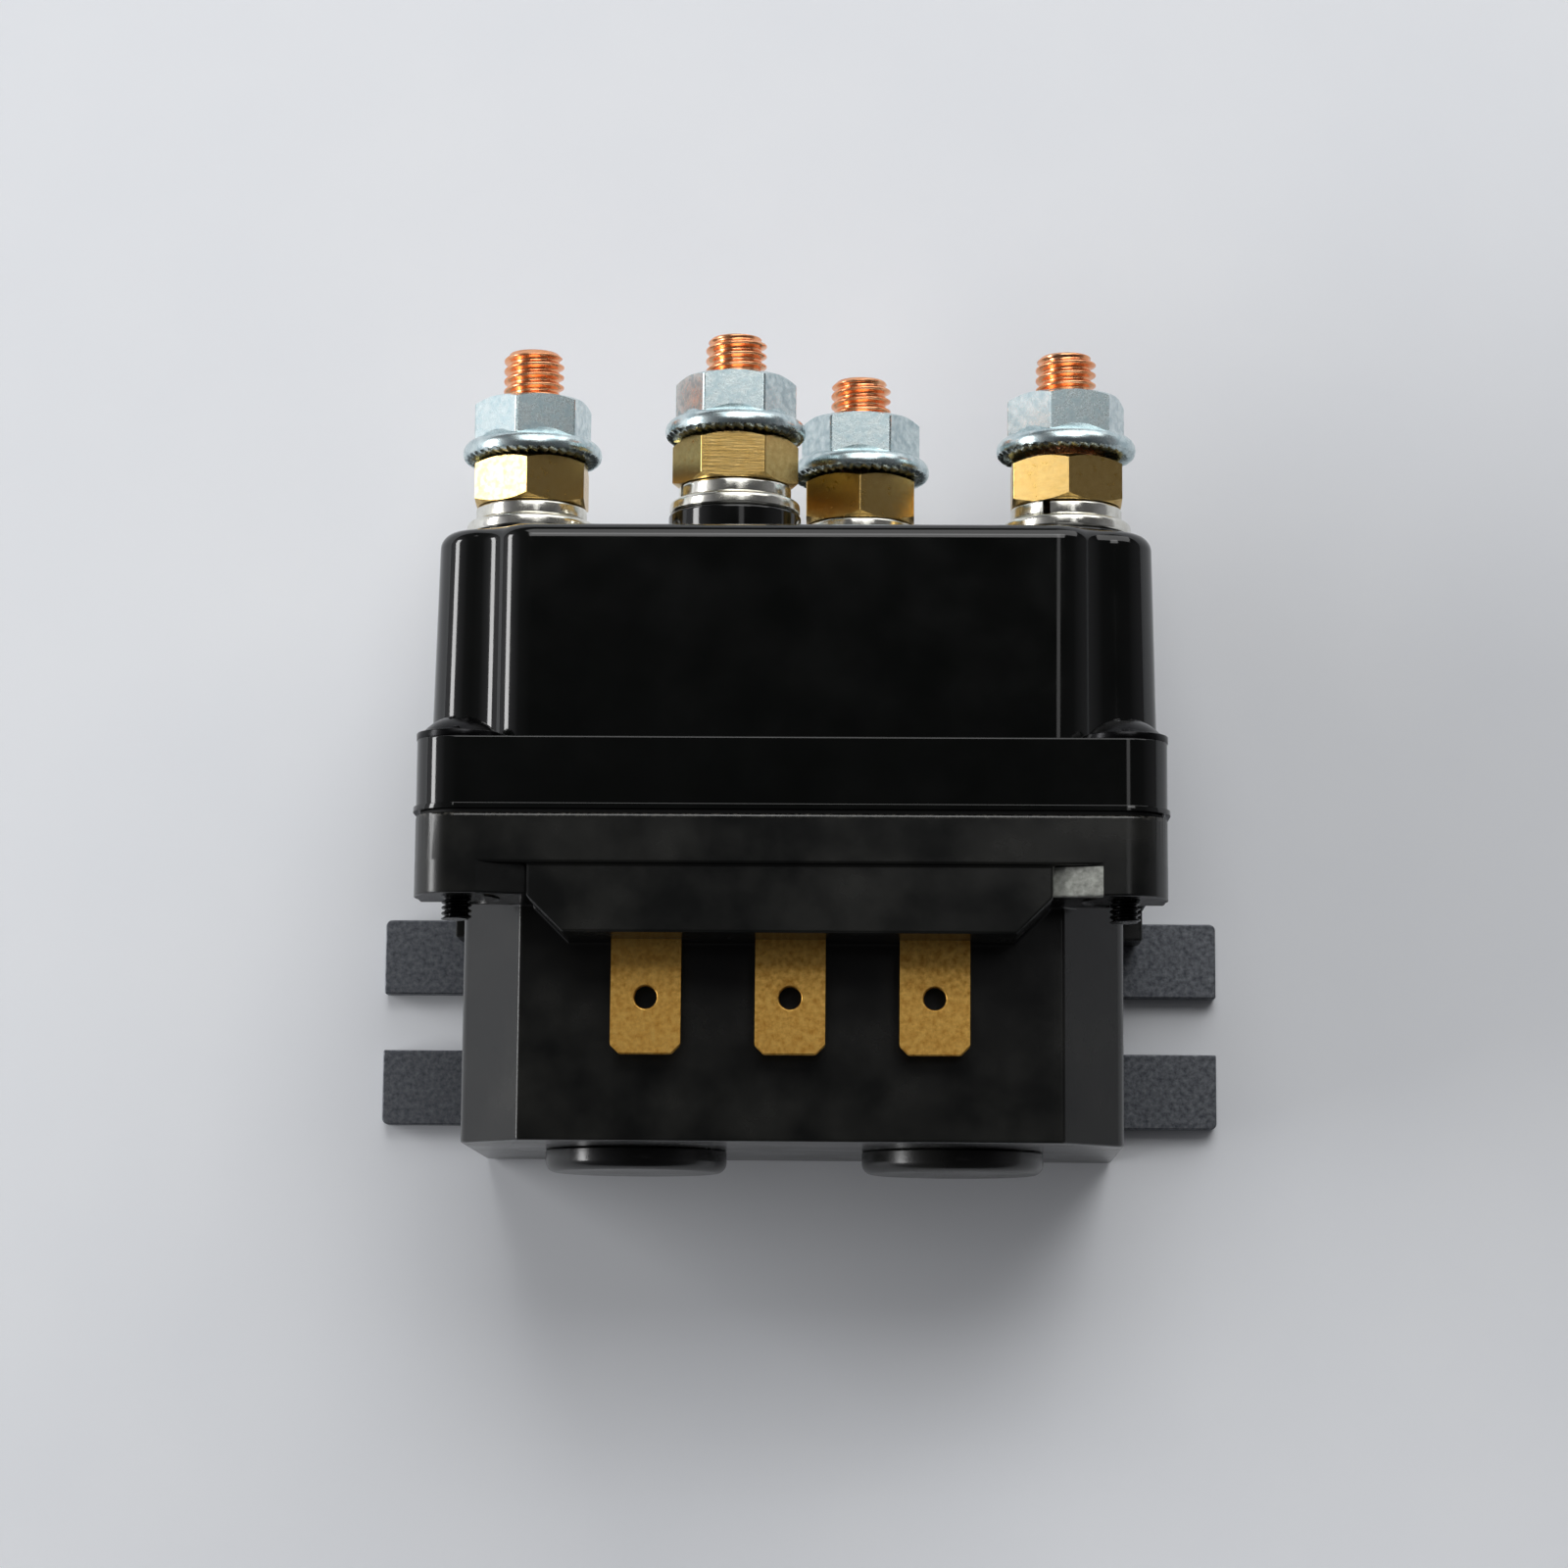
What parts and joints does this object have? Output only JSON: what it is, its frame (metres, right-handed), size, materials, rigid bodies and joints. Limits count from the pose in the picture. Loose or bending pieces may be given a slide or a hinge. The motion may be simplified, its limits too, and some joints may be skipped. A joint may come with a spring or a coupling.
{
  "type": "winch relay",
  "caption": "Reversing winch relay: glossy black cover with copper studs over a matte coil housing with spade tabs, end caps and a slotted mounting plate.",
  "frame": {"origin": "middle of the mounting plate's back face", "axes": "+X to the right along the row of studs, +Y along the studs, +Z out from the wall"},
  "size_m": [0.0824, 0.0787, 0.0463],
  "materials": {
    "gloss_cover": "glossy moulded thermoset",
    "matte_housing": "fine matte moulded nylon",
    "gasket_rubber": "thin sheet",
    "zinc_steel": "grey zinc plate with fine speckle",
    "black_steel": "black oxide",
    "stud_copper": "bare rolled copper thread",
    "nut_brass": "turned brass",
    "zinc_nut": "bright zinc plate",
    "tinned_washer": "yellowish tin plate",
    "tab_brass": "mottled stamped brass",
    "insulating_board": "pressed board",
    "bar_copper": "stamped copper bar",
    "bobbin_nylon": "natural nylon",
    "enamelled_wire": "enamelled copper wire",
    "core_iron": "zinc plated soft iron",
    "rod_brass": "turned brass",
    "spring_steel": "spring wire"
  },
  "bodies": {
    "root": {"top_cover": "gloss_cover", "base_housing": "matte_housing", "gasket": "gasket_rubber", "mounting_plate": "zinc_steel", "plate_screws": "zinc_steel", "cover_screws": "black_steel", "contact_deck": "insulating_board", "supply_bus": "bar_copper", "return_bus": "bar_copper", "spade_left": "tab_brass", "spade_middle": "tab_brass", "spade_right": "tab_brass", "stud_left": "stud_copper", "stud_mid_left": "stud_copper", "stud_mid_right": "stud_copper", "stud_right": "stud_copper", "flat_washer_left": "tinned_washer", "flat_washer_mid_left": "tinned_washer", "flat_washer_mid_right": "tinned_washer", "flat_washer_right": "tinned_washer", "spring_washer_left": "tinned_washer", "spring_washer_mid_left": "tinned_washer", "spring_washer_mid_right": "tinned_washer", "spring_washer_right": "tinned_washer", "brass_nut_left": "nut_brass", "brass_nut_mid_left": "nut_brass", "brass_nut_mid_right": "nut_brass", "brass_nut_right": "nut_brass", "flange_nut_left": "zinc_nut", "flange_nut_mid_left": "zinc_nut", "flange_nut_mid_right": "zinc_nut", "flange_nut_right": "zinc_nut", "end_cap_left": "matte_housing", "end_cap_right": "matte_housing", "bobbin_left": "bobbin_nylon", "bobbin_right": "bobbin_nylon", "winding_left": "enamelled_wire", "winding_right": "enamelled_wire", "yoke_left": "core_iron", "yoke_right": "core_iron", "pole_plate_left": "core_iron", "pole_plate_right": "core_iron", "fixed_core_left": "core_iron", "fixed_core_right": "core_iron", "return_spring_left": "spring_steel", "return_spring_right": "spring_steel", "outer_contact_left": "bar_copper", "outer_contact_right": "bar_copper"},
    "left_plunger": {"plunger_left": "core_iron", "push_rod_left": "rod_brass", "rod_clip_left": "spring_steel", "contact_spring_left": "spring_steel"},
    "left_bridge": {"contact_bridge_left": "bar_copper"},
    "right_plunger": {"plunger_right": "core_iron", "push_rod_right": "rod_brass", "rod_clip_right": "spring_steel", "contact_spring_right": "spring_steel"},
    "right_bridge": {"contact_bridge_right": "bar_copper"}
  },
  "joints": [
    {"name": "left_plunger_slide", "type": "slide", "parent": "root", "child": "left_plunger", "axis": [0, 1, 0], "range_m": [0, 0.0025], "stiffness_N_per_m": 400, "springref_m": -0.006, "deforming": ["return_spring_left"]},
    {"name": "left_bridge_slide", "type": "slide", "parent": "left_plunger", "child": "left_bridge", "axis": [0, 1, 0], "range_m": [-0.0005, 0], "deforming": ["contact_spring_left"]},
    {"name": "right_plunger_slide", "type": "slide", "parent": "root", "child": "right_plunger", "axis": [0, 1, 0], "range_m": [0, 0.0025], "stiffness_N_per_m": 400, "springref_m": -0.006, "deforming": ["return_spring_right"]},
    {"name": "right_bridge_slide", "type": "slide", "parent": "right_plunger", "child": "right_bridge", "axis": [0, 1, 0], "range_m": [-0.0005, 0], "deforming": ["contact_spring_right"]}
  ],
  "couplings": [
    {"joint": "left_bridge_slide", "follows": "left_plunger_slide", "ratio": -0.2},
    {"joint": "right_bridge_slide", "follows": "right_plunger_slide", "ratio": -0.2}
  ]
}
